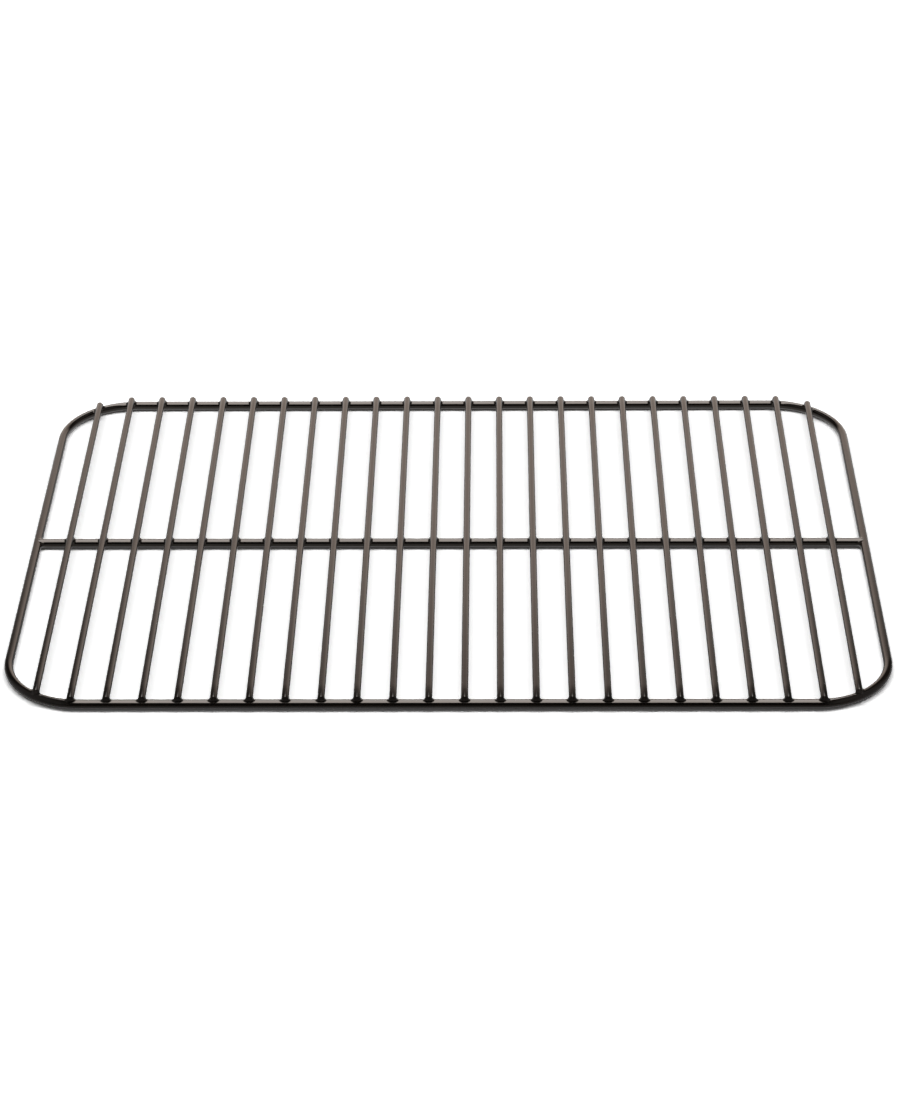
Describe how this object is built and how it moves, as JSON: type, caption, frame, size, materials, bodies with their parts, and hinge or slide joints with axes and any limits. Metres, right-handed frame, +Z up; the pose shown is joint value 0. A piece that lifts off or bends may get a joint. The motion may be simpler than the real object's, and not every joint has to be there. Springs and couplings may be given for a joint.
{
  "type": "grill grate",
  "caption": "Rectangular welded wire cooking grate with rounded corners: straight parallel bars over a ring frame and a middle cross bar, in glossy black-brown enamel.",
  "frame": {"origin": "centre of the ring, on the surface that it stands on", "axes": "+X side to side along the cross bar, +Y front to back along the cooking bars, +Z up"},
  "size_m": [0.508, 0.352, 0.0084],
  "materials": {
    "enamel": "glossy black-brown porcelain enamel on steel wire"
  },
  "bodies": {
    "root": {"outer_frame": "enamel", "cross_bar": "enamel", "cooking_bar_01": "enamel", "cooking_bar_02": "enamel", "cooking_bar_03": "enamel", "cooking_bar_04": "enamel", "cooking_bar_05": "enamel", "cooking_bar_06": "enamel", "cooking_bar_07": "enamel", "cooking_bar_08": "enamel", "cooking_bar_09": "enamel", "cooking_bar_10": "enamel", "cooking_bar_11": "enamel", "cooking_bar_12": "enamel", "cooking_bar_13": "enamel", "cooking_bar_14": "enamel", "cooking_bar_15": "enamel", "cooking_bar_16": "enamel", "cooking_bar_17": "enamel", "cooking_bar_18": "enamel", "cooking_bar_19": "enamel", "cooking_bar_20": "enamel", "cooking_bar_21": "enamel", "cooking_bar_22": "enamel", "cooking_bar_23": "enamel", "cooking_bar_24": "enamel"}
  },
  "joints": []
}
